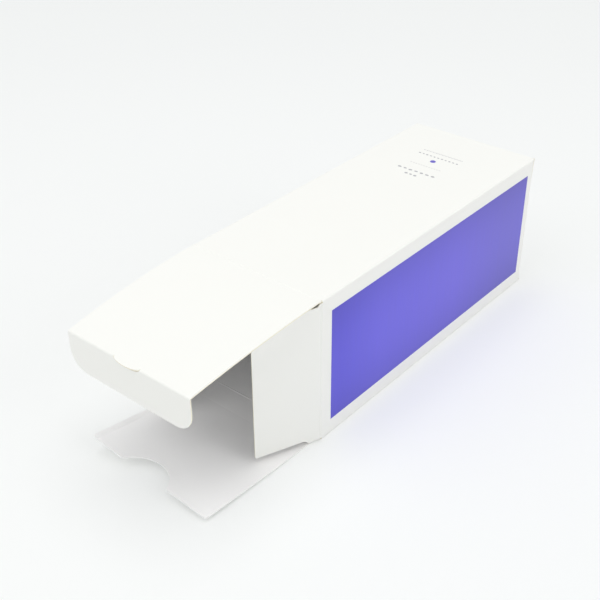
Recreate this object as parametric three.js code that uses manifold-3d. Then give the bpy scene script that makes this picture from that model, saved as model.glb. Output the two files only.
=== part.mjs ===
// A tuck-end folding carton for a shampoo bottle, lying on one long side with its lid open.
// Millimetres. +Z is up, +Y runs from the open mouth to the closed far end, and the origin is
// at the middle of the wall that the box lies on.
import * as THREE from "three";
import { mergeVertices } from "three/addons/utils/BufferGeometryUtils.js";
import Module from "manifold-3d";

// The box, measured outside.
const box_width = 65;
const box_height = 65;
const box_length = 155;

// The card, and how tightly it is folded. The fold radius is that of the outer face.
const card = 0.5;
const fold_radius = 0.8;

// A flap turns about the middle of its card, and the cut wall stands this far off its round root.
const crease_gap = 0.3;

// The glue flap inside the left wall, and how far the left wall's cut edge stands off the table.
const glue_flap_width = 13;
const glue_flap_mitre = 5;
const glue_flap_setback = 2;
const seam_edge_height = 1.3;

// The lid over the mouth: it sags by lid_drop, and is bowed upwards by lid_bow at mid-length.
const lid_length = 65.3;
const lid_drop = 4.9;
const lid_bow = 1.2;
const lid_root_inset = 0.4;
const lid_front_inset = 2;
const tuck_depth = 15.5;
const tuck_fold_angle = 81;
const tuck_corner_radius = 8;

// The tongue that a curved slit leaves standing at the tuck's fold.
const tongue_width = 13;
const tongue_reach = 1.2;
const tongue_slit_drop = 1.9;
const tongue_root = 3;

// The dust flaps on the side walls.
const dust_length = 28.7;
const right_dust_angle = 20;
const left_dust_angle = 15;
const dust_top_gap = 1;
const dust_top_slope = 1.7;
const dust_shoulder_length = 5.5;
const dust_jog_length = 1.8;
const dust_shoulder_gap = 1;
const dust_jog_height = 1.6;
const dust_tip_rise = 0.5;
const dust_top_corner_radius = 2;
const dust_low_corner_radius = 0.8;

// The flap on the wall that the box lies on. Its crease is set back behind the mouth.
const inner_flap_length = 62;
const inner_flap_setback = 1;
const inner_flap_root_inset = 1.7;
const inner_flap_front_inset = 3.4;
const inner_flap_rise = 3.7;
const inner_flap_corner_radius = 1.2;
const inner_flap_side_gap = 0.3;
const notch_radius = 12.2;
const notch_depth = 8.2;
const notch_offset = -2.6;
const notch_lip_radius = 1.5;
const score_distance = 11.2;
const score_width = 0.7;
const score_depth = 0.15;

// The closed far end: its tuck leans away from the wall, so that it can swing out past it.
const base_panel_gap = 0.3;
const base_tuck_gap = 0.35;
const base_tuck_lean = 7;
const base_wall_recess = 0.2;
const base_dust_lift = 1.5;

// The print: a field on the right wall, and small marks on the top wall near the far end.
const ink = 0.05;
const field_margin_front = 6;
const field_margin_back = 5.3;
const field_margin_top = 6.9;
const field_margin_bottom = 7;
const row_height = 0.9;
const far_row_length = 21;
const fourth_row_length = 22;
const third_row_length = 16.5;
const second_row_length = 20.5;
const near_row_length = 7;
const print_rows = [
  { name: "print_row_far", from_mouth: 131, length: far_row_length, middle: -1.6 },
  { name: "print_row_fourth", from_mouth: 127, length: fourth_row_length, middle: -1.7 },
  { name: "print_row_third", from_mouth: 116.3, length: third_row_length, middle: -1.6 },
  { name: "print_row_second", from_mouth: 109.2, length: second_row_length, middle: -1.8 },
  { name: "print_row_near", from_mouth: 105.4, length: near_row_length, middle: -2.1 },
];
const dot_radius = 1.3;
const dot_from_mouth = 122.5;
const dot_middle = -1.6;

// Places that follow from the sizes above.
const half_width = box_width / 2;
const mouth_y = -box_length / 2;
const far_y = box_length / 2;
const crease_height = box_height - card / 2;
const root_clearance = card / 2 + crease_gap;
const wall_front = mouth_y + root_clearance;
const far_crease_y = far_y - card / 2;
const base_dust_y = far_y - card - base_panel_gap;
const side_wall_back = base_dust_y - fold_radius;
const corner_reach = fold_radius + 0.1;
const past = 1;
const arc_steps = 5;
const round_steps = 12;

const wasm = await Module();
wasm.setup();
const radians = THREE.MathUtils.degToRad;

// Shapes are drawn flat and pulled out along one axis of the box.

function solid(geometry, basis, shift) {
  if (basis) geometry.applyMatrix4(new THREE.Matrix4().makeBasis(...basis));
  geometry.translate(...shift);
  geometry.deleteAttribute("normal");
  geometry.deleteAttribute("uv");
  const merged = mergeVertices(geometry);
  const mesh = new wasm.Mesh({
    numProp: 3,
    vertProperties: new Float32Array(merged.attributes.position.array),
    triVerts: new Uint32Array(merged.index.array),
  });
  return new wasm.Manifold(mesh);
}

function pulled(shape, depth) {
  return new THREE.ExtrudeGeometry(shape, { depth, bevelEnabled: false, curveSegments: round_steps });
}

const x_axis = new THREE.Vector3(1, 0, 0);
const y_axis = new THREE.Vector3(0, 1, 0);
const z_axis = new THREE.Vector3(0, 0, 1);

// A shape drawn in Y and Z.
function along_x(shape, low, high) {
  return solid(pulled(shape, high - low), [y_axis, z_axis, x_axis], [low, 0, 0]);
}

// A shape drawn in X and Z.
function along_y(shape, low, high) {
  const backwards = y_axis.clone().negate();
  return solid(pulled(shape, high - low), [x_axis, z_axis, backwards], [0, high, 0]);
}

// A shape drawn in X and Y.
function along_z(shape, low, high) {
  return solid(pulled(shape, high - low), null, [0, 0, low]);
}

function block(low, high) {
  const size = high.map((value, axis) => value - low[axis]);
  const middle = high.map((value, axis) => (value + low[axis]) / 2);
  return solid(new THREE.BoxGeometry(...size), null, middle);
}

function polygon(points) {
  return new THREE.Shape(points.map(([a, b]) => new THREE.Vector2(a, b)));
}

function piece(name, body, colour, roughness) {
  const { vertProperties, triVerts } = body.getMesh();
  const geometry = new THREE.BufferGeometry();
  geometry.setAttribute("position", new THREE.BufferAttribute(vertProperties, 3));
  geometry.setIndex(new THREE.BufferAttribute(triVerts, 1));
  geometry.computeVertexNormals();
  const material = new THREE.MeshStandardMaterial({ color: colour, roughness, metalness: 0 });
  const mesh = new THREE.Mesh(geometry, material);
  mesh.name = name;
  return mesh;
}

// The side view of a bent sheet, drawn in Y and Z. It has a round root on its crease axis and
// walks away along -Y. Each stretch has a length along the middle of the card, and turns down.
function sheet_section(first_heading, stretches) {
  const upper = [];
  const lower = [];
  let y = 0;
  let z = 0;
  let heading = first_heading;
  const mark = () => {
    const side_y = (-Math.sin(heading) * card) / 2;
    const side_z = (Math.cos(heading) * card) / 2;
    upper.push([y + side_y, z + side_z]);
    lower.push([y - side_y, z - side_z]);
  };
  mark();
  for (const { length, turn = 0, steps = 1 } of stretches) {
    for (let step = 0; step < steps; step += 1) {
      heading += turn / steps / 2;
      y -= (Math.cos(heading) * length) / steps;
      z -= (Math.sin(heading) * length) / steps;
      heading += turn / steps / 2;
      mark();
    }
  }
  const root = [];
  for (let step = 1; step < arc_steps * 2; step += 1) {
    const angle = first_heading - Math.PI / 2 + (Math.PI * step) / (arc_steps * 2);
    root.push([(Math.cos(angle) * card) / 2, (Math.sin(angle) * card) / 2]);
  }
  return polygon([...upper, ...lower.reverse(), ...root]);
}

// The four walls, drawn in X and Z as one folded strip. It starts at the seam edge of the left
// wall, goes over the top, down the right, along the table, and ends in the glue flap.
function wall_section() {
  const r = fold_radius;
  const outer = new THREE.Shape();
  outer.moveTo(-half_width, seam_edge_height);
  outer.lineTo(-half_width, box_height - r);
  outer.absarc(-half_width + r, box_height - r, r, Math.PI, Math.PI / 2, true);
  outer.absarc(half_width - r, box_height - r, r, Math.PI / 2, 0, true);
  outer.absarc(half_width - r, r, r, 0, -Math.PI / 2, true);
  outer.absarc(-half_width + card + r, r, r, -Math.PI / 2, -Math.PI, true);
  outer.lineTo(-half_width + card, seam_edge_height);
  outer.closePath();
  const inside = r - card;
  const left = -half_width + card;
  const right = half_width - card;
  const top = box_height - card;
  const hollow = new THREE.Path();
  hollow.moveTo(left + card, glue_flap_width);
  hollow.absarc(left + card + inside, card + inside, inside, Math.PI, Math.PI * 1.5, false);
  hollow.absarc(right - inside, card + inside, inside, -Math.PI / 2, 0, false);
  hollow.absarc(right - inside, top - inside, inside, 0, Math.PI / 2, false);
  hollow.absarc(left + inside, top - inside, inside, Math.PI / 2, Math.PI, false);
  hollow.lineTo(left, glue_flap_width);
  hollow.closePath();
  outer.holes.push(hollow);
  return outer;
}

// The glue flap's free edge is shorter than its fold, so its two ends are cut at a slant.
function glue_flap_end(wall_end, inwards) {
  const fold_end = wall_end + inwards * glue_flap_setback;
  const slant = polygon([
    [wall_end - inwards * past, card + corner_reach],
    [fold_end, card + corner_reach],
    [fold_end + inwards * glue_flap_mitre, glue_flap_width + past],
    [wall_end - inwards * past, glue_flap_width + past],
  ]);
  return along_x(slant, -half_width + card, -half_width + 2 * card + past);
}

// A dust flap's outline, drawn in Y and Z with its crease at Y = 0 and the flap along -Y.
// The lower edge has a shoulder next to the crease, and lift raises that edge.
function dust_outline(lift, root_reach) {
  const shoulder = dust_shoulder_gap + lift;
  const jog = shoulder + dust_jog_height;
  const tip = jog + dust_tip_rise;
  const top = box_height - dust_top_gap;
  const tip_top = top - dust_top_slope;
  const low_r = dust_low_corner_radius;
  const top_r = dust_top_corner_radius;
  const shape = new THREE.Shape();
  shape.moveTo(root_reach, shoulder);
  shape.lineTo(-dust_shoulder_length, shoulder);
  shape.lineTo(-dust_shoulder_length - dust_jog_length, jog);
  shape.lineTo(-dust_length + low_r, tip);
  shape.absarc(-dust_length + low_r, tip + low_r, low_r, -Math.PI / 2, -Math.PI, true);
  shape.absarc(-dust_length + top_r, tip_top - top_r, top_r, Math.PI, Math.PI / 2, true);
  shape.lineTo(-past, top);
  shape.lineTo(root_reach, top);
  shape.closePath();
  return shape;
}

// A dust flap of the far end, drawn in X and Y as one bent sheet with the stub of its side wall.
function folded_dust_flap() {
  const r = fold_radius;
  const stub = side_wall_back - past;
  const tip_x = half_width - dust_length;
  const bend_x = half_width - r;
  const sheet = new THREE.Shape();
  sheet.moveTo(half_width, stub);
  sheet.absarc(bend_x, side_wall_back, r, 0, Math.PI / 2, false);
  sheet.lineTo(tip_x, base_dust_y);
  sheet.lineTo(tip_x, base_dust_y - card);
  sheet.absarc(bend_x, side_wall_back, r - card, Math.PI / 2, 0, true);
  sheet.lineTo(half_width - card, stub);
  sheet.closePath();
  const bent = along_z(sheet, 0, box_height);
  const outline = along_y(dust_outline(base_dust_lift, past), stub - past, far_y);
  return bent.intersect(outline.translate([half_width, 0, 0]));
}

function carton_body() {
  const strip_back = far_y - base_wall_recess;
  const top_wall_back = far_crease_y - root_clearance;
  let body = along_y(wall_section(), wall_front, strip_back);
  const sides = block(
    [-half_width - past, side_wall_back, corner_reach],
    [half_width + past, far_y + past, box_height - corner_reach],
  );
  const top = block(
    [-half_width - past, top_wall_back, box_height / 2],
    [half_width + past, far_y + past, box_height + past],
  );
  const bottom_reach = half_width - inner_flap_root_inset + inner_flap_side_gap;
  const bottom = block(
    [-bottom_reach, wall_front - past, -past],
    [bottom_reach, wall_front + inner_flap_setback, fold_radius],
  );
  body = body.subtract(sides).subtract(top).subtract(bottom);
  body = body.subtract(glue_flap_end(wall_front, 1)).subtract(glue_flap_end(side_wall_back, -1));
  const right = folded_dust_flap();
  return body.add(right).add(right.mirror([1, 0, 0]));
}

// A lid panel's plan, drawn in X and Y: it narrows quickly beside its crease, then gently.
function lid_plan(length) {
  const root = half_width;
  const shoulder = half_width - lid_root_inset;
  const front = half_width - lid_front_inset;
  const end = -length - past - fold_radius;
  return polygon([
    [-root, card], [-root, -card], [-shoulder, -3 * card], [-front, end],
    [front, end], [shoulder, -3 * card], [root, -card], [root, card],
  ]);
}

// What a rounded tuck corner leaves over, drawn in X and Z for the right side.
function tuck_corner(low) {
  const front = half_width - lid_front_inset + past;
  const r = tuck_corner_radius;
  const shape = new THREE.Shape();
  shape.moveTo(front, low + r);
  shape.lineTo(front - past, low + r);
  shape.absarc(front - past - r, low + r, r, 0, -Math.PI / 2, true);
  shape.lineTo(front - past - r, low - past);
  shape.lineTo(front, low - past);
  shape.closePath();
  return shape;
}

function rounded_tuck(sheet, length) {
  const low = sheet.boundingBox().min[2];
  const corner = along_y(tuck_corner(low), -length - 2 * tuck_depth, -length + tuck_depth);
  return sheet.subtract(corner).subtract(corner.mirror([1, 0, 0]));
}

const fold_middle = fold_radius - card / 2;

// The slit opens the fold and the top of the tuck. It is drawn in X and Z.
function tongue_slit() {
  const reach = tongue_width / 2 + crease_gap;
  const fold_low = card - fold_radius;
  const shape = new THREE.Shape();
  shape.absellipse(0, fold_low, reach, tongue_slit_drop, Math.PI, Math.PI * 2, false, 0);
  shape.lineTo(reach, past);
  shape.lineTo(-reach, past);
  shape.closePath();
  return shape;
}

// The tongue stands out of the slit in line with the lid. It is drawn in X and Y.
function tongue_plan() {
  const fold_start = -lid_length + fold_radius;
  const reach = tongue_reach + fold_radius;
  const shape = new THREE.Shape();
  shape.absellipse(0, fold_start, tongue_width / 2, reach, Math.PI, Math.PI * 2, false, 0);
  shape.lineTo(tongue_width / 2, fold_start + tongue_root);
  shape.lineTo(-tongue_width / 2, fold_start + tongue_root);
  shape.closePath();
  return shape;
}

// The lid over the mouth, drawn level with its crease axis at the origin.
function lid_flap() {
  const bow_angle = (4 * lid_bow) / lid_length;
  const fold = radians(tuck_fold_angle);
  const panel = { length: lid_length - fold_radius, turn: 2 * bow_angle, steps: round_steps };
  const bend = { length: fold_middle * fold, turn: fold, steps: arc_steps };
  const folded = sheet_section(-bow_angle, [panel, bend, { length: tuck_depth - fold_radius }]);
  const level = sheet_section(-bow_angle, [panel, { length: 2 * tongue_reach + fold_radius }]);
  const wide = [-half_width - past, half_width + past];
  const plan = along_z(lid_plan(lid_length), -2 * tuck_depth, tuck_depth);
  const sheet = rounded_tuck(along_x(folded, ...wide).intersect(plan), lid_length);
  const slit = along_y(tongue_slit(), -lid_length - 2 * fold_radius, -lid_length + fold_radius);
  const tongue = along_z(tongue_plan(), -tuck_depth, tuck_depth);
  return sheet.subtract(slit).add(along_x(level, ...wide).intersect(tongue));
}

// The lid of the far end, drawn like the first, but flat and with its tuck folded further.
function base_flap() {
  const length = crease_height - card - base_tuck_gap;
  const fold = radians(90 + base_tuck_lean);
  const section = sheet_section(0, [
    { length: length - fold_radius },
    { length: fold_middle * fold, turn: fold, steps: arc_steps },
    { length: tuck_depth - fold_radius },
  ]);
  const plan = along_z(lid_plan(length), -2 * tuck_depth, tuck_depth);
  const sheet = along_x(section, -half_width - past, half_width + past).intersect(plan);
  return rounded_tuck(sheet, length);
}

// A dust flap of the mouth, with its crease axis along Z at the origin.
function dust_flap() {
  const sheet = new THREE.Shape();
  sheet.absarc(0, 0, card / 2, 0, Math.PI, false);
  sheet.lineTo(-card / 2, -dust_length - past);
  sheet.lineTo(card / 2, -dust_length - past);
  sheet.closePath();
  const outline = along_x(dust_outline(0, card), -card, card);
  return along_z(sheet, 0, box_height).intersect(outline);
}

// The inner flap's plan, drawn in X and Y. The thumb notch is an arc with rounded lips.
function inner_flap_plan() {
  const root = half_width - inner_flap_root_inset;
  const front = half_width - inner_flap_front_inset;
  const edge = -inner_flap_length;
  const r = inner_flap_corner_radius;
  const lip = notch_lip_radius;
  const notch_y = edge + notch_depth - notch_radius;
  const lip_y = edge + lip;
  const spread = Math.sqrt((notch_radius + lip) ** 2 - (lip_y - notch_y) ** 2);
  const lip_angle = Math.atan2(lip_y - notch_y, spread);
  const shape = new THREE.Shape();
  shape.moveTo(root, card);
  shape.lineTo(front, edge + r);
  shape.quadraticCurveTo(front, edge, front - r, edge);
  shape.absarc(notch_offset + spread, lip_y, lip, -Math.PI / 2, -Math.PI + lip_angle, true);
  shape.absarc(notch_offset, notch_y, notch_radius, lip_angle, Math.PI - lip_angle, false);
  shape.absarc(notch_offset - spread, lip_y, lip, -lip_angle, -Math.PI / 2, true);
  shape.lineTo(-front + r, edge);
  shape.quadraticCurveTo(-front, edge, -front, edge + r);
  shape.lineTo(-root, card);
  shape.closePath();
  return shape;
}

// The flap on the table, drawn level with its crease axis at the origin. A score crosses it.
function inner_flap() {
  const section = sheet_section(0, [{ length: inner_flap_length + past }]);
  const plan = along_z(inner_flap_plan(), -past, past);
  const score = polygon([
    [-score_distance - score_width / 2, card / 2],
    [-score_distance, card / 2 - score_depth],
    [-score_distance + score_width / 2, card / 2],
    [-score_distance, past],
  ]);
  const wide = [-half_width - past, half_width + past];
  return along_x(section, ...wide).intersect(plan).subtract(along_x(score, ...wide));
}

// The coloured field on the right wall, as deep as its layer of ink.
function side_field() {
  return block(
    [half_width, mouth_y + field_margin_front, field_margin_bottom],
    [half_width + ink, far_y - field_margin_back, box_height - field_margin_top],
  );
}

// A plain bar stands for each row of small print.
function print_row(row) {
  const y = mouth_y + row.from_mouth;
  return block(
    [row.middle - row.length / 2, y - row_height / 2, box_height],
    [row.middle + row.length / 2, y + row_height / 2, box_height + ink],
  );
}

function print_dot() {
  const disc = new THREE.Shape();
  disc.absarc(dot_middle, mouth_y + dot_from_mouth, dot_radius, 0, Math.PI * 2, false);
  return along_z(disc, box_height, box_height + ink);
}

const card_white = "#f7f7f4";
const card_roughness = 0.45;
const box = new THREE.Group();
box.add(piece("carton_body", carton_body(), card_white, card_roughness));

const lid = piece("lid_flap", lid_flap(), card_white, card_roughness);
lid.position.set(0, mouth_y, crease_height);
lid.rotation.x = radians(lid_drop);
box.add(lid);

const right_dust = piece("right_dust_flap", dust_flap(), card_white, card_roughness);
right_dust.position.set(half_width - card / 2, mouth_y, 0);
right_dust.rotation.z = radians(-right_dust_angle);
box.add(right_dust);

const left_dust = piece("left_dust_flap", dust_flap(), card_white, card_roughness);
left_dust.position.set(-half_width + card / 2, mouth_y, 0);
left_dust.rotation.z = radians(left_dust_angle);
box.add(left_dust);

const inner = piece("inner_flap", inner_flap(), "#e9eaee", 0.7);
inner.position.set(0, mouth_y + inner_flap_setback, card / 2);
inner.rotation.x = radians(-inner_flap_rise);
box.add(inner);

// The far end faces the other way, and its lid hangs straight down from its crease.
const far_end = new THREE.Group();
far_end.position.set(0, far_crease_y, crease_height);
far_end.rotation.z = Math.PI;
const base = piece("base_flap", base_flap(), card_white, card_roughness);
base.rotation.x = Math.PI / 2;
far_end.add(base);
box.add(far_end);

box.add(piece("side_print_panel", side_field(), "#5a4fd0", 0.4));
box.add(piece("print_dot", print_dot(), "#5a4fd0", 0.4));
for (const row of print_rows) box.add(piece(row.name, print_row(row), "#9a9aa8", 0.5));

export default box;
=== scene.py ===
import math

import bmesh
import bpy
from mathutils import Matrix, Vector


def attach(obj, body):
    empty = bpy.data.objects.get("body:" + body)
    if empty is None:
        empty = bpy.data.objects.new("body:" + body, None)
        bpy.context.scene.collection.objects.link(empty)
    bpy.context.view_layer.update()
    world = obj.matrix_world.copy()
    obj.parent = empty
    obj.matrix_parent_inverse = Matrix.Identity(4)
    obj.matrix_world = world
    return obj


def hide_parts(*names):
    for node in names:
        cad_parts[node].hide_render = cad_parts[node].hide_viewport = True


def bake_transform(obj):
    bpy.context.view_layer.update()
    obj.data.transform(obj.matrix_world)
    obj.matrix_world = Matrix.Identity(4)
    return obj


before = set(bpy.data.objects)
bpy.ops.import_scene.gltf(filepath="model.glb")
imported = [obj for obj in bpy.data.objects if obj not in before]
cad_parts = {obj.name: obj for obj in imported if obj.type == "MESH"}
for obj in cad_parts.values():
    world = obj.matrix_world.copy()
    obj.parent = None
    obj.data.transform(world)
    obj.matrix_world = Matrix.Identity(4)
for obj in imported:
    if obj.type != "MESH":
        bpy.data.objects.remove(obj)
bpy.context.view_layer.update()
scene = bpy.context.scene
mm = 0.001


# Camera and room: a pale sweep of floor under soft light that comes mostly from above.
# The view is the photograph's own, from the right and above, onto the open mouth.

camera_data = bpy.data.cameras.new("camera")
camera_data.sensor_fit = "HORIZONTAL"
camera_data.sensor_width = 36
camera_data.lens = 60.94
camera_data.clip_start = 0.01
camera = bpy.data.objects.new("camera", camera_data)
scene.collection.objects.link(camera)
right = Vector((0.7670, 0.6416, -0.0055)).normalized()
forward = Vector((-0.5406, 0.6416, -0.5442))
forward = (forward - right * forward.dot(right)).normalized()
up = right.cross(forward)
view = Matrix((right, up, -forward)).transposed().to_4x4()
camera.matrix_world = Matrix.Translation((0.22278, -0.31546, 0.26328)) @ view
scene.camera = camera
scene.view_settings.view_transform = "Standard"


def seen_ray(tree):
    """1 for what the camera, a reflection or a clear material sees, 0 for light on its way."""
    ray = tree.nodes.new("ShaderNodeLightPath")
    total = ray.outputs["Is Camera Ray"]
    for kind in ("Is Glossy Ray", "Is Transmission Ray"):
        either = tree.nodes.new("ShaderNodeMath")
        either.operation = "MAXIMUM"
        tree.links.new(total, either.inputs[0])
        tree.links.new(ray.outputs[kind], either.inputs[1])
        total = either.outputs["Value"]
    return total


world = bpy.data.worlds.new("room")
scene.world = world
world.use_nodes = True
room_light = world.node_tree.nodes["Background"]
room_light.inputs["Color"].default_value = (0.97, 0.985, 1.0, 1)
room_light.inputs["Strength"].default_value = 0.53
room_white = world.node_tree.nodes.new("ShaderNodeBackground")
room_white.inputs["Color"].default_value = (0.945, 0.96, 0.953, 1)
room_mix = world.node_tree.nodes.new("ShaderNodeMixShader")
room_links = world.node_tree.links
room_links.new(seen_ray(world.node_tree), room_mix.inputs["Fac"])
room_links.new(room_light.outputs["Background"], room_mix.inputs[1])
room_links.new(room_white.outputs["Background"], room_mix.inputs[2])
room_links.new(room_mix.outputs["Shader"], world.node_tree.nodes["World Output"].inputs["Surface"])


def material(name, colour, roughness, **sockets):
    made = bpy.data.materials.new(name)
    made.use_nodes = True
    shader = made.node_tree.nodes["Principled BSDF"]
    shader.inputs["Base Color"].default_value = (*colour, 1)
    shader.inputs["Roughness"].default_value = roughness
    for socket, value in sockets.items():
        shader.inputs[socket.replace("_", " ")].default_value = value
    return made


def node(made, kind, **values):
    new = made.node_tree.nodes.new(kind)
    for key, value in values.items():
        if hasattr(new, key):
            setattr(new, key, value)
        else:
            new.inputs[key.replace("_", " ")].default_value = value
    return new


def join(made, start, end):
    made.node_tree.links.new(start, end)


def lamp(name, place, target, size, energy, colour):
    data = bpy.data.lights.new(name, "AREA")
    data.shape = "DISK"
    data.size = size
    data.energy = energy
    data.color = colour
    made = bpy.data.objects.new(name, data)
    scene.collection.objects.link(made)
    aim = (Vector(target) - Vector(place)).to_track_quat("-Z", "Y")
    made.matrix_world = Matrix.Translation(place) @ aim.to_matrix().to_4x4()


lamp("top_light", (0.05, 0.10, 1.5), (0, 0, 0), 1.3, 7.3, (1, 0.998, 0.985))
lamp("right_light", (1.5, 0.1, 0.8), (0, 0, 0.03), 1.2, 5.5, (1, 0.995, 0.98))
lamp("front_light", (-0.2, -0.9, 1.35), (0, -0.1, 0.02), 1.0, 4.0, (1, 0.998, 0.985))
lamp("low_light", (-0.6, -1.3, 0.65), (0, -0.1, 0.02), 0.9, 2.2, (1, 0.99, 0.97))

floor_mesh = bmesh.new()
bmesh.ops.create_circle(floor_mesh, cap_ends=True, segments=96, radius=6)
floor_data = bpy.data.meshes.new("floor")
floor_mesh.to_mesh(floor_data)
floor_mesh.free()
for vertex in floor_data.vertices:
    vertex.co.z = -0.03 * mm
floor = bpy.data.objects.new("floor", floor_data)
scene.collection.objects.link(floor)
floor_white = material("floor_white", (0.90, 0.91, 0.905), 0.75)
shader = floor_white.node_tree.nodes["Principled BSDF"]
glow = node(floor_white, "ShaderNodeEmission")
glow.inputs["Color"].default_value = (0.985, 1.0, 0.993, 1)
spot = node(floor_white, "ShaderNodeTexCoord")
far_off = node(floor_white, "ShaderNodeVectorMath", operation="LENGTH")
# The floor's glow dims from full in the middle to 0.96 far out: a painted fall-off of the light.
painted_falloff = node(floor_white, "ShaderNodeMapRange")
for socket, value in (("From Min", 0.1), ("From Max", 0.9), ("To Min", 1.0), ("To Max", 0.96)):
    painted_falloff.inputs[socket].default_value = value
join(floor_white, spot.outputs["Object"], far_off.inputs[0])
join(floor_white, far_off.outputs["Value"], painted_falloff.inputs["Value"])
join(floor_white, painted_falloff.outputs["Result"], glow.inputs["Strength"])
share = node(floor_white, "ShaderNodeMath", operation="MULTIPLY")
nearness = node(floor_white, "ShaderNodeMapRange")
for socket, value in (("From Min", 0.4), ("From Max", 2.0), ("To Min", 0.38), ("To Max", 1.0)):
    nearness.inputs[socket].default_value = value
blend = node(floor_white, "ShaderNodeMixShader")
output = floor_white.node_tree.nodes["Material Output"]
join(floor_white, seen_ray(floor_white.node_tree), share.inputs[0])
join(floor_white, far_off.outputs["Value"], nearness.inputs["Value"])
join(floor_white, nearness.outputs["Result"], share.inputs[1])
join(floor_white, share.outputs["Value"], blend.inputs["Fac"])
join(floor_white, shader.outputs["BSDF"], blend.inputs[1])
join(floor_white, glow.outputs["Emission"], blend.inputs[2])
join(floor_white, blend.outputs["Shader"], output.inputs["Surface"])
floor_data.materials.append(floor_white)


# Carton walls: four walls of one folded board, glued to a narrow flap inside the left wall.
# The two dust flaps of the closed far end are bent in from the side walls.

card = 0.5
fold_radius = 0.8
middle_radius = fold_radius - card / 2
half_width = 32.5
box_height = 65
box_length = 155
mouth_y = -box_length / 2
far_y = box_length / 2
crease_height = box_height - card / 2
root_clearance = card / 2 + 0.3
wall_front = mouth_y + root_clearance
quarter = math.pi / 2
long_run = 500


def board_material(name, colour, roughness, speckle, bump):
    """Folding board: a faint cloudiness in the white, and a fine tooth in the surface."""
    made = material(name, colour, roughness)
    shader = made.node_tree.nodes["Principled BSDF"]
    place = node(made, "ShaderNodeUVMap", uv_map="card")
    cloud = node(made, "ShaderNodeTexNoise", Scale=40.0, Detail=3.0, Roughness=0.6)
    tooth = node(made, "ShaderNodeTexNoise", Scale=1500.0, Detail=2.0, Roughness=0.5)
    tint = node(made, "ShaderNodeMix", data_type="RGBA")
    tint.inputs["A"].default_value = (*[c * (1 - speckle) for c in colour], 1)
    tint.inputs["B"].default_value = (*[min(1, c * (1 + speckle)) for c in colour], 1)
    gloss = node(made, "ShaderNodeMapRange")
    gloss.inputs["To Min"].default_value = roughness - 0.05
    gloss.inputs["To Max"].default_value = roughness + 0.07
    relief = node(made, "ShaderNodeBump", Strength=bump, Distance=0.00004)
    for texture in (cloud, tooth):
        join(made, place.outputs["UV"], texture.inputs["Vector"])
    join(made, cloud.outputs["Fac"], tint.inputs["Factor"])
    join(made, tint.outputs["Result"], shader.inputs["Base Color"])
    join(made, tooth.outputs["Fac"], gloss.inputs["Value"])
    join(made, gloss.outputs["Result"], shader.inputs["Roughness"])
    join(made, tooth.outputs["Fac"], relief.inputs["Height"])
    join(made, relief.outputs["Normal"], shader.inputs["Normal"])
    return made


outside = board_material("card_outside", (0.92, 0.918, 0.882), 0.42, 0.006, 0.10)
inside = board_material("card_inside", (0.97, 0.962, 0.958), 0.75, 0.012, 0.30)
cut_edge = board_material("card_cut_edge", (0.90, 0.86, 0.72), 0.8, 0.03, 0.40)
# A whiter copy of the cut-edge colour for the inner flap: a painted highlight along its edges.
painted_highlight_edge = board_material("card_pale_edge", (0.94, 0.94, 0.93), 0.8, 0.02, 0.40)


def spread(low, high, step):
    """Evenly spaced values from low to high, at most step apart."""
    count = max(1, math.ceil((high - low) / step - 1e-6))
    return [low + (high - low) * i / count for i in range(count + 1)]


def outline_edges(mesh, points):
    """Draws a closed flat outline, in millimetres."""
    ring = [mesh.verts.new((u, v, 0)) for u, v in points]
    return [mesh.edges.new((ring[i - 1], ring[i])) for i in range(len(ring))]


def card_piece(name, body, outline, columns, rows, place, corners=None, hole=None, rim=None):
    """A sheet of card. The flat blank is filled, cut along the columns and rows, given its
    thickness, and then bent by place(), which turns a flat point into a point of the card's
    middle and the outside's direction. corners gives how far a corner is cut back and rounded."""
    mesh = bmesh.new()
    edges = outline_edges(mesh, outline)
    mesh.verts.ensure_lookup_table()
    if corners:
        mesh.faces.new(mesh.verts)
        for corner, cut in [(mesh.verts[i], cut) for i, cut in corners.items()]:
            bmesh.ops.bevel(
                mesh, geom=[corner], offset=cut, offset_type="OFFSET", affect="VERTICES",
                segments=7, profile=0.5, material=-1,
            )
        bmesh.ops.delete(mesh, geom=list(mesh.faces), context="FACES_ONLY")
        edges = list(mesh.edges)
    if hole:
        edges += outline_edges(mesh, hole)
    bmesh.ops.triangle_fill(mesh, use_beauty=True, edges=edges, normal=(0, 0, 1))
    lines = [((c, 0, 0), (1, 0, 0)) for c in columns] + [((0, r, 0), (0, 1, 0)) for r in rows]
    for spot, across in lines:
        everything = [*mesh.verts, *mesh.edges, *mesh.faces]
        bmesh.ops.bisect_plane(mesh, geom=everything, dist=0.01, plane_co=spot, plane_no=across)
    for face in mesh.faces:
        if face.normal.z < 0:
            face.normal_flip()
    bmesh.ops.solidify(mesh, geom=list(mesh.faces), thickness=card)
    mesh.normal_update()
    low = min(v.co.z for v in mesh.verts)
    for face in mesh.faces:
        level = abs(face.normal.z) > 0.5
        top = sum(v.co.z for v in face.verts) / len(face.verts) - low > card / 2
        face.material_index = (0 if top else 1) if level else 2
        face.smooth = level
    for edge in mesh.edges:
        edge.smooth = len({f.material_index for f in edge.link_faces}) == 1
    layer = mesh.loops.layers.uv.new("card")
    for face in mesh.faces:
        for corner in face.loops:
            corner[layer].uv = corner.vert.co.xy * mm
    for vertex in mesh.verts:
        spot, normal = place(vertex.co.x, vertex.co.y)
        side = 1 if vertex.co.z - low > card / 2 else -1
        vertex.co = (spot + normal * side * card / 2) * mm
    bmesh.ops.triangulate(mesh, faces=[f for f in mesh.faces if len(f.verts) > 4])
    bmesh.ops.recalc_face_normals(mesh, faces=mesh.faces)
    data = bpy.data.meshes.new(name)
    mesh.to_mesh(data)
    mesh.free()
    for finish in (outside, inside, rim or cut_edge):
        data.materials.append(finish)
    made = bpy.data.objects.new(name, data)
    scene.collection.objects.link(made)
    if body:
        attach(made, body)
    return made


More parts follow.
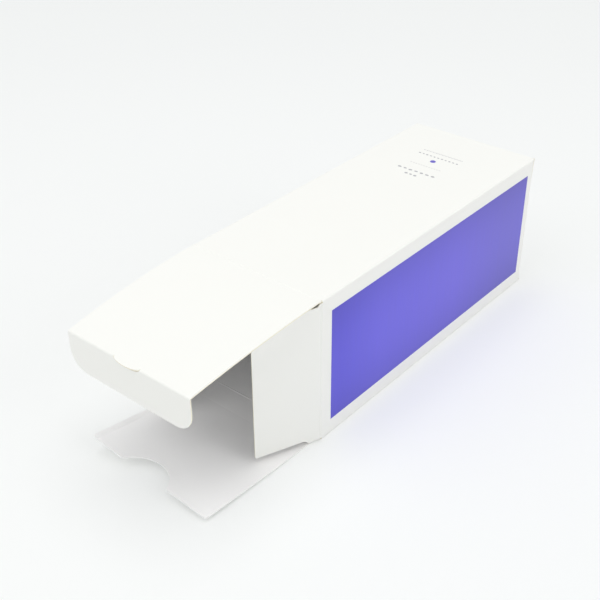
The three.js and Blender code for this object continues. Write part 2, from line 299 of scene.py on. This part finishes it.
def walk(stretches, distance):
    """Walks along a bent line of (length, turn) stretches. Gives how far it has gone forward,
    how far it has come down, and its heading."""
    forward_run = 0.0
    fall = 0.0
    heading = 0.0
    for length, turn in stretches:
        step = min(distance, length)
        if abs(turn) < 1e-9:
            forward_run += math.cos(heading) * step
            fall += math.sin(heading) * step
        else:
            bend = turn / length
            swung = heading + bend * step
            forward_run += (math.sin(swung) - math.sin(heading)) / bend
            fall -= (math.cos(swung) - math.cos(heading)) / bend
            heading = swung
        distance -= step
        if distance <= 0:
            break
    return forward_run, fall, heading


def section_point(stretches, start, heading, distance):
    """A point of the walls' section in X and Z, and the outside's direction there."""
    run, fall, turned = walk(stretches, distance)
    along = Vector((math.sin(heading), math.cos(heading)))
    across = Vector((math.cos(heading), -math.sin(heading)))
    spot = Vector(start) + along * run + across * fall
    angle = heading + turned
    return spot, Vector((-math.cos(angle), math.sin(angle)))


seam_edge_height = 1.3
glue_flap_width = 13
glue_corner_cut = 7
glue_corner_start = 2
far_shoulder_lift = 1.5
notch_half_width = 31.1
notch_depth = 1
side_wall_back = far_y - card - 0.3 - fold_radius
top_wall_back = far_y - card / 2 - root_clearance
strip_back = far_y - 0.2
bend = quarter * middle_radius
left_run = box_height - fold_radius - seam_edge_height
top_run = 2 * (half_width - fold_radius)
right_run = box_height - 2 * fold_radius
low_run = top_run - card
glue_run = glue_flap_width - fold_radius
walls = [
    (left_run, 0), (bend, quarter), (top_run, 0), (bend, quarter), (right_run, 0),
    (bend, quarter), (low_run, 0), (bend, quarter), (long_run, 0),
]
turns = []
reached = 0.0
for length, _ in walls:
    turns.append(reached)
    reached += length
left_u, left_top_u, top_u, right_top_u, right_u, right_low_u, low_u, left_low_u, glue_u = turns


def place_wall(u, y):
    """A flat point of the walls. Past side_wall_back the side walls bend in as dust flaps."""
    spot, normal = section_point(walls, (-half_width + card / 2, seam_edge_height), 0, u)
    if u > glue_u - 0.01:
        spot.x += 0.02
    side = left_u <= u <= left_top_u or right_u <= u <= right_low_u
    if side and y > side_wall_back:
        run, fall, turned = walk([(bend, quarter), (long_run, 0)], y - side_wall_back)
        inwards = 1 if u < top_u else -1
        middle = Vector((spot.x + inwards * fall, side_wall_back + run, spot.y))
        return middle, Vector((-inwards * math.cos(turned), math.sin(turned), 0))
    return Vector((spot.x, y, spot.y)), Vector((normal.x, 0, normal.y))


dust_length = 28.7


def dust_low_edge(lift):
    """The lower edge of a dust flap: distance from the crease and height, root first."""
    shoulder = 1 + lift
    jog = shoulder + 1.6
    return [(0, shoulder), (5.5, shoulder), (7.3, jog), (dust_length, jog + 0.5)]


def dust_end(lift):
    """A dust flap's outline as (height, distance), from the low root round to the top root."""
    low = [(height, distance) for distance, height in dust_low_edge(lift)]
    return [*low, (62.3, dust_length), (62.8, 9.5), (62.9, 1.6), (64, 0.6), (64, 0)]


left_far = [
    (h - seam_edge_height + left_u, side_wall_back + d) for h, d in dust_end(far_shoulder_lift)
]
right_far = [
    (right_u + box_height - fold_radius - h, side_wall_back + d)
    for h, d in dust_end(far_shoulder_lift)
]
right_far.reverse()
low_middle = low_u + half_width - fold_radius
wall_outline = [
    (left_u, wall_front), (left_u, side_wall_back),
    *left_far,
    (left_top_u - 0.1, side_wall_back), (left_top_u - 0.1, top_wall_back),
    (right_u + 0.1, top_wall_back), (right_u + 0.1, side_wall_back),
    *right_far,
    (right_low_u - 0.1, side_wall_back), (right_low_u - 0.1, strip_back),
    (glue_u, strip_back), (glue_u, side_wall_back - glue_corner_start),
    (glue_u + glue_run, side_wall_back - glue_corner_cut),
    (glue_u + glue_run, wall_front + glue_corner_cut),
    (glue_u, wall_front + glue_corner_start), (glue_u - 0.1, wall_front),
    (low_middle + notch_half_width, wall_front),
    (low_middle + notch_half_width, wall_front + notch_depth),
    (low_middle - notch_half_width, wall_front + notch_depth),
    (low_middle - notch_half_width, wall_front),
]
columns = []
for start, (length, turn) in zip(turns, walls[:-1]):
    columns += spread(start, start + length, 0.12 if turn else 5)[:-1]
    columns += [start + 0.25, start - 0.25] if not turn else []
columns += spread(glue_u, glue_u + glue_run, 3)
columns = sorted({round(c, 4) for c in columns if c >= 0})
rows = spread(wall_front, side_wall_back, 5) + spread(side_wall_back, side_wall_back + bend, 0.11)
rows += [side_wall_back - 0.25, side_wall_back + bend + 0.25]
rows += spread(side_wall_back + bend, side_wall_back + dust_length, 5)
rows = sorted({round(r, 4) for r in rows})
dust_cuts = {2: 1.0, 3: 0.8, 4: 2.0}
wall_cuts = {2 + i: cut for i, cut in dust_cuts.items()}
first_right = wall_outline.index(right_far[0])
wall_cuts |= {first_right + len(right_far) - 1 - i: cut for i, cut in dust_cuts.items()}
carton_walls = card_piece(
    "carton_walls", "carton", wall_outline, columns, rows, place_wall, corners=wall_cuts
)
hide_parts("carton_body")


# Lid: the panel over the mouth sags a little from its crease and is bowed along its length.
# Its tuck is folded straight down, and a curved slit leaves a small tongue in line with the lid.

lid_length = 65.3
lid_drop = math.radians(4.9)
tuck_depth = 15.5
tuck_heading = math.radians(90.1)
crease_run = 0.6
crease_lead = root_clearance - crease_run / 2
fold_start = root_clearance + lid_length - fold_radius
tuck_half_width = 30.5
tuck_corner = 8.0
lid_bow = 1.1
lid_bow_slant = 0.3
slit = (6.58, 2.06)
tongue = (6.45, 1.97)


def in_tongue(x, v):
    width = (slit[0] + tongue[0]) / 2
    reach = (slit[1] + tongue[1]) / 2
    return v > fold_start and (x / width) ** 2 + ((v - fold_start) / reach) ** 2 < 1


def crease_dent(v, depth):
    """How deep the pressed line lies at a distance v from where the flap's card starts."""
    return depth * math.exp(-(((v - root_clearance) / 0.28) ** 2))


def place_lid(x, v):
    bow = lid_bow - lid_bow_slant * x / half_width
    rise = 4 * bow / lid_length
    fold = tuck_heading - lid_drop - rise
    panel = lid_length - fold_radius - crease_run / 2
    stretches = [(crease_lead, 0), (crease_run, lid_drop - rise), (panel, 2 * rise)]
    if not in_tongue(x, v):
        stretches.append((middle_radius * fold, fold))
    run, fall, heading = walk([*stretches, (long_run, 0)], v)
    normal = Vector((0, -math.sin(heading), math.cos(heading)))
    spot = Vector((x, wall_front - run, crease_height - fall))
    return spot - normal * crease_dent(v, 0.1), normal


tuck_start = fold_start + middle_radius * (tuck_heading - lid_drop)
tuck_end = tuck_start + tuck_depth - fold_radius
root_x = half_width - fold_radius


def tucked_outline(fold, end):
    """A lid with its tuck: as wide as the box at the crease, and narrower past the fold."""
    half = [
        (root_x, 0), (half_width - 0.15, root_clearance),
        (half_width - 0.4, root_clearance + 1.5), (tuck_half_width, fold), (tuck_half_width, end),
    ]
    return [(-root_x, 0), *half, *[(-x, v) for x, v in reversed(half[1:])]]


def half_ellipse(radii, steps, sign):
    return [
        (radii[0] * math.cos(math.pi * i / steps) * sign,
         fold_start + radii[1] * math.sin(math.pi * i / steps))
        for i in range(steps + 1)
    ]


slit_outline = half_ellipse(slit, 28, 1) + half_ellipse(tongue, 28, -1)
crease_rows = spread(0, 2 * root_clearance, 0.11) + [2 * root_clearance + 0.3]
fold_rows = spread(fold_start, tuck_start, 0.1) + [fold_start - 0.25, tuck_start + 0.25]
rows = crease_rows + spread(3.5, fold_start - 2, 3) + fold_rows + spread(tuck_start + 2.5, tuck_end, 2.5)
columns = spread(-33, 33, 3) + spread(-7, 7, 0.5)
lid_card = card_piece(
    "lid_card", None, tucked_outline(fold_start, tuck_end),
    sorted({round(c, 4) for c in columns}), sorted({round(r, 4) for r in rows}), place_lid,
    corners={5: tuck_corner, 6: tuck_corner}, hole=slit_outline,
)
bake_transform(lid_card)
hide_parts("lid_flap")


# Mouth dust flaps: one on each side wall, bent in at its crease. The lower edge has a shoulder
# beside the crease and a small step, and the upper edge slopes down towards the tip.

def dust_place(side, angle):
    def place(z, v):
        stretches = [(crease_lead, 0), (crease_run, angle), (dust_length, math.radians(1.2))]
        run, fall, heading = walk([*stretches, (long_run, 0)], v)
        normal = Vector((side * math.cos(heading), -math.sin(heading), 0))
        spot = Vector((side * (half_width - card / 2 - fall), wall_front - run, z))
        return spot - normal * crease_dent(v, 0.28), normal
    return place


def dust_card(name, side, angle, cad_node):
    ends = [(h, d + root_clearance) for h, d in dust_end(0)]
    outline = [(1, 0), *ends[1:-1], (64, 0)]
    rows = crease_rows + spread(3.5, dust_length + root_clearance, 2.5)
    columns = spread(0, 65, 2.5)
    made = card_piece(
        name, None, outline, columns, rows, dust_place(side, angle), corners=dust_cuts
    )
    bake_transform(made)
    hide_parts(cad_node)


dust_card("right_dust_card", 1, math.radians(20), "right_dust_flap")
dust_card("left_dust_card", -1, math.radians(15), "left_dust_flap")


# Inner flap: it lies out from the bottom wall with its uncoated inside up, and a score crosses
# it. Its free end curls up off the table, more on the left, and has a thumb notch.

inner_setback = 1
inner_length = 62
score_v = root_clearance + 11.2
inner_root = half_width - 1.7
inner_front = half_width - 3.4
notch_reach = 8.2
inner_start = wall_front + inner_setback
curl_rise = 4.3
curl_twist = 2.4
strip_crease_x = -28.6
strip_edge_x = -31.1
strip_start = 30
strip_angle = math.radians(28)
score_relief = 0.08
notch_lip = 1.5
notch_radius = 12.2
edge_v = root_clearance + inner_length
notch_centre = (-2.6, edge_v - notch_reach + notch_radius)


def place_inner(x, v):
    rise = (curl_rise - curl_twist * x / inner_front) / inner_length
    stretches = [
        (crease_lead, 0), (crease_run, -0.35 * rise), (10.6, 0), (crease_run, -0.25 * rise),
        (50.5, -1.13 * rise),
    ]
    run, fall, heading = walk([*stretches, (long_run, 0)], v)
    normal = Vector((0, math.sin(heading), -math.cos(heading)))
    spot = Vector((x, inner_start - run, card / 2 - fall))
    depth = score_relief * min(max((x - 6) / 20, 0.25), 1)
    score = depth * math.exp(-(((v - score_v) / 0.25) ** 2))
    spot -= normal * (crease_dent(v, 0.14) - score)
    past_crease = strip_crease_x - x
    if past_crease > 0:
        raised = min(max((v - strip_start) / 15, 0), 1)
        angle = strip_angle * raised * min(past_crease / 0.8, 1)
        spot.x += past_crease * (1 - math.cos(angle))
        spot.z += past_crease * math.sin(angle)
        normal = Matrix.Rotation(angle, 3, "Y") @ normal
    return spot, normal


def arc_point(centre, radius, angle):
    return centre[0] + radius * math.cos(angle), centre[1] + radius * math.sin(angle)


def notch_side(sign):
    """One side of the notch: the lip's curve and the arc up to the middle."""
    lip_v = edge_v - notch_lip
    spread_x = math.sqrt((notch_radius + notch_lip) ** 2 - (lip_v - notch_centre[1]) ** 2)
    lip_centre = (notch_centre[0] + sign * spread_x, lip_v)
    towards = math.atan2(notch_centre[1] - lip_v, -sign * spread_x)
    start = quarter
    turn = (towards - start + math.pi) % (2 * math.pi) - math.pi
    points = [arc_point(lip_centre, notch_lip, start + turn * i / 8) for i in range(9)]
    arc_start = math.atan2(lip_v - notch_centre[1], sign * spread_x)
    turn = (-quarter - arc_start + math.pi) % (2 * math.pi) - math.pi
    for i in range(1, 15):
        points.append(arc_point(notch_centre, notch_radius, arc_start + turn * i / 14))
    return points


right_notch = notch_side(1)
left_notch = notch_side(-1)[:-1]
left_notch.reverse()
inner_outline = [
    (-inner_root, 0), (inner_root, 0), (inner_root - 0.03, root_clearance),
    (inner_front, edge_v),
    *right_notch, *left_notch,
    (strip_edge_x, edge_v), (strip_edge_x, 14), (-inner_root + 0.03, root_clearance),
]
score_rows = [score_v + d for d in (-0.9, -0.5, -0.3, -0.15, 0, 0.15, 0.3, 0.5, 0.9)]
rows = crease_rows + spread(3.5, score_v - 2.5, 2.5) + score_rows + spread(score_v + 3, edge_v, 2.5)
inner_card = card_piece(
    "inner_card", None, inner_outline,
    sorted({*spread(-26, 32, 2.5), *[strip_crease_x - d for d in (0, 0.2, 0.4, 0.6, 0.8, 1.1)]}),
    sorted({round(r, 4) for r in rows}), place_inner,
    corners={3: 1.0, inner_outline.index((strip_edge_x, edge_v)): 1.0}, rim=painted_highlight_edge,
)
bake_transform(inner_card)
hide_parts("inner_flap")


# Far end: a lid hinged on the top wall hangs straight down over the folded dust flaps, and its
# tuck goes in under them.

base_length = crease_height - card - 0.35
base_fold = math.radians(97)
base_fold_start = root_clearance + base_length - fold_radius


def place_base(x, v):
    radius = crease_run / quarter
    panel = base_length - fold_radius - radius
    stretches = [
        (root_clearance - radius, 0), (crease_run, quarter), (panel, 0),
        (middle_radius * base_fold, base_fold), (long_run, 0),
    ]
    run, fall, heading = walk(stretches, v)
    normal = Vector((0, math.sin(heading), math.cos(heading)))
    spot = Vector((x, top_wall_back + run, crease_height - fall))
    return spot - normal * crease_dent(v, 0.06), normal


base_tuck_start = base_fold_start + middle_radius * base_fold
base_tuck_end = base_tuck_start + tuck_depth - fold_radius
fold_rows = spread(base_fold_start, base_tuck_start, 0.1)
fold_rows += [base_fold_start - 0.25, base_tuck_start + 0.25]
rows = crease_rows + spread(3.5, base_fold_start - 2, 3) + fold_rows
rows += spread(base_tuck_start + 2.5, base_tuck_end, 2.5)
base_card = card_piece(
    "base_card", None, tucked_outline(base_fold_start, base_tuck_end), spread(-33, 33, 3),
    sorted({round(r, 4) for r in rows}), place_base, corners={5: tuck_corner, 6: tuck_corner},
)
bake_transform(base_card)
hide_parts("base_flap")


# Colour field: blue-violet ink on the right wall, with a faint grain up and down in the ink.
# The lighter middle is a painted sheen; the darker, purpler colour towards the top, the table and the
# ends is painted shade.

violet = material("violet_print", (0.13, 0.11, 0.72), 0.42, Specular_IOR_Level=0.35)
shader = violet.node_tree.nodes["Principled BSDF"]
place = node(violet, "ShaderNodeTexCoord")
split = node(violet, "ShaderNodeSeparateXYZ")
join(violet, place.outputs["Object"], split.inputs["Vector"])
along = node(violet, "ShaderNodeMapRange")
along.inputs["From Min"].default_value = -0.0715
along.inputs["From Max"].default_value = 0.0722
join(violet, split.outputs["Y"], along.inputs["Value"])
# painted sheen along the field: lighter in the middle, darker towards both ends
painted_sheen_ramp = node(violet, "ShaderNodeValToRGB")
stops = painted_sheen_ramp.color_ramp.elements
stops[0].position = 0.04
stops[0].color = (0.124, 0.107, 0.73, 1)
stops[1].position = 0.88
stops[1].color = (0.174, 0.150, 0.68, 1)
for where, colour in ((0.22, (0.160, 0.136, 0.79, 1)), (0.60, (0.180, 0.149, 0.775, 1))):
    stops.new(where).color = colour
join(violet, along.outputs["Result"], painted_sheen_ramp.inputs["Fac"])
height = node(violet, "ShaderNodeMapRange", clamp=False)
height.inputs["From Min"].default_value = 0.0325
height.inputs["From Max"].default_value = 0.0581
join(violet, split.outputs["Z"], height.inputs["Value"])
square = node(violet, "ShaderNodeMath", operation="POWER")
square.inputs[1].default_value = 2.0
magnitude = node(violet, "ShaderNodeMath", operation="ABSOLUTE")
join(violet, height.outputs["Result"], magnitude.inputs[0])
join(violet, magnitude.outputs["Value"], square.inputs[0])
# painted shade: darker towards the field's top and bottom edges
painted_edge_shade = node(violet, "ShaderNodeMix", data_type="RGBA", blend_type="MULTIPLY")
painted_edge_shade.inputs["B"].default_value = (0.80, 0.80, 0.82, 1)
join(violet, square.outputs["Value"], painted_edge_shade.inputs["Factor"])
join(violet, painted_sheen_ramp.outputs["Color"], painted_edge_shade.inputs["A"])
stretch = node(violet, "ShaderNodeMapping")
stretch.inputs["Scale"].default_value = (1, 900, 60)
grain = node(violet, "ShaderNodeTexNoise", Scale=1.0, Detail=2.0)
join(violet, place.outputs["Object"], stretch.inputs["Vector"])
join(violet, stretch.outputs["Vector"], grain.inputs["Vector"])
streaks = node(violet, "ShaderNodeMix", data_type="RGBA", blend_type="MULTIPLY")
streaks.inputs["Factor"].default_value = 0.06
join(violet, painted_edge_shade.outputs["Result"], streaks.inputs["A"])
join(violet, grain.outputs["Color"], streaks.inputs["B"])
join(violet, streaks.outputs["Result"], shader.inputs["Base Color"])
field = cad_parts["side_print_panel"]
field.data.materials.clear()
field.data.materials.append(violet)


# Small print: rows of plain dashes and a dot near the far end of the top wall, in thin ink.

grey_ink = material("grey_ink", (0.47, 0.47, 0.49), 0.5)
pale_ink = material("pale_ink", (0.76, 0.76, 0.74), 0.5)


def dashes(mesh, from_mouth, middle, length, count, fill, height, ink):
    """A row of count rounded dashes, each as long as fill times its share of the length."""
    share = length / count
    for i in range(count):
        x = middle - length / 2 + share * (i + 0.5)
        y = mouth_y + from_mouth + 0.06 * height * math.sin(2.4 * i)
        half = share * fill / 2 * (1 - 0.12 * (i % 3 == 1))
        tall = height / 2 * (1 - 0.15 * (i % 2))
        shape = Matrix.Translation(Vector((x, y, box_height)) * mm)
        shape @= Matrix.Diagonal((half * mm, tall * mm, 1, 1))
        disc = bmesh.ops.create_circle(mesh, cap_ends=True, segments=12, radius=1, matrix=shape)
        face = disc["verts"][0].link_faces[0]
        face.material_index = ink
        grown = bmesh.ops.extrude_face_region(mesh, geom=[face], use_keep_orig=True)["geom"]
        raised = [v for v in grown if isinstance(v, bmesh.types.BMVert)]
        bmesh.ops.translate(mesh, verts=raised, vec=(0, 0, 0.03 * mm))


marks_mesh = bmesh.new()
dashes(marks_mesh, 131.0, -1.6, 21.0, 26, 0.8, 0.45, 0)
dashes(marks_mesh, 127.0, -1.7, 22.0, 11, 0.62, 0.9, 0)
dashes(marks_mesh, 116.3, -1.6, 16.5, 12, 0.85, 0.8, 1)
dashes(marks_mesh, 109.2, -1.8, 20.5, 7, 0.66, 1.3, 0)
dashes(marks_mesh, 105.4, -2.1, 7.0, 3, 0.7, 1.3, 0)
bmesh.ops.recalc_face_normals(marks_mesh, faces=marks_mesh.faces)
marks_data = bpy.data.meshes.new("print_marks")
marks_mesh.to_mesh(marks_data)
marks_mesh.free()
marks_data.materials.append(grey_ink)
marks_data.materials.append(pale_ink)
print_marks = bpy.data.objects.new("print_marks", marks_data)
scene.collection.objects.link(print_marks)
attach(print_marks, "carton")
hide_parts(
    "print_row_far", "print_row_fourth", "print_row_third", "print_row_second",
    "print_row_near",
)

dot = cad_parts["print_dot"]
dot.data.materials.clear()
dot.data.materials.append(violet)
